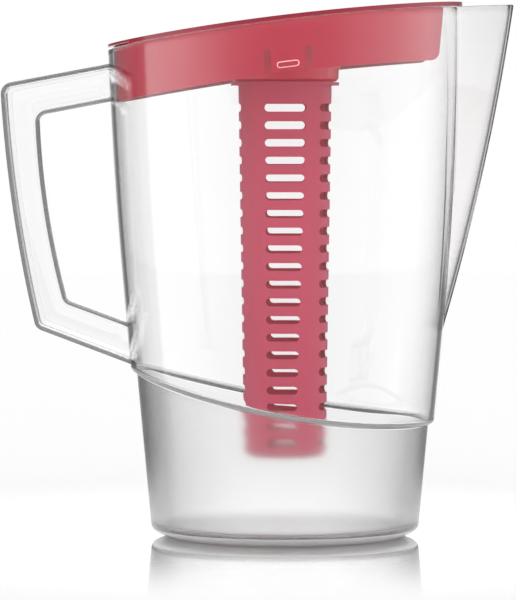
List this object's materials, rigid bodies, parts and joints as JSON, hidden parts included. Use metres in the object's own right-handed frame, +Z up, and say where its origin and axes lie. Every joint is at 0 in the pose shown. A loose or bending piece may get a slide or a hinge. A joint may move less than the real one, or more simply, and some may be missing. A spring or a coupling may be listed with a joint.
{
  "type": "pitcher",
  "caption": "Clear pitcher with a moulded handle and spout, a skirted lid on its sloping rim and a slotted infuser tube hanging from the lid.",
  "frame": {"origin": "on the surface it stands on, under the middle of its outer box; the jug's own axis is a little towards the spout from there", "axes": "+Z up, +X towards the spout, the handle along -X, the middle plane at Y = 0"},
  "size_m": [0.2169, 0.151, 0.2266],
  "materials": {
    "clear_jug": "clear moulded plastic, glossy above the ledge and frosted below it",
    "lid_plastic": "glossy translucent raspberry plastic",
    "infuser_plastic": "translucent raspberry plastic with a satin moulded surface"
  },
  "bodies": {
    "jug": {"jug": "clear_jug"},
    "lid": {"lid": "lid_plastic"},
    "infuser": {"infuser": "infuser_plastic"}
  },
  "joints": [
    {"name": "lid_lift", "type": "slide", "parent": "jug", "child": "lid", "axis": [0, 0, 1], "range_m": [0, 0.2]},
    {"name": "infuser_pull", "type": "slide", "parent": "lid", "child": "infuser", "axis": [0, 0, -1], "range_m": [0, 0.025]}
  ]
}
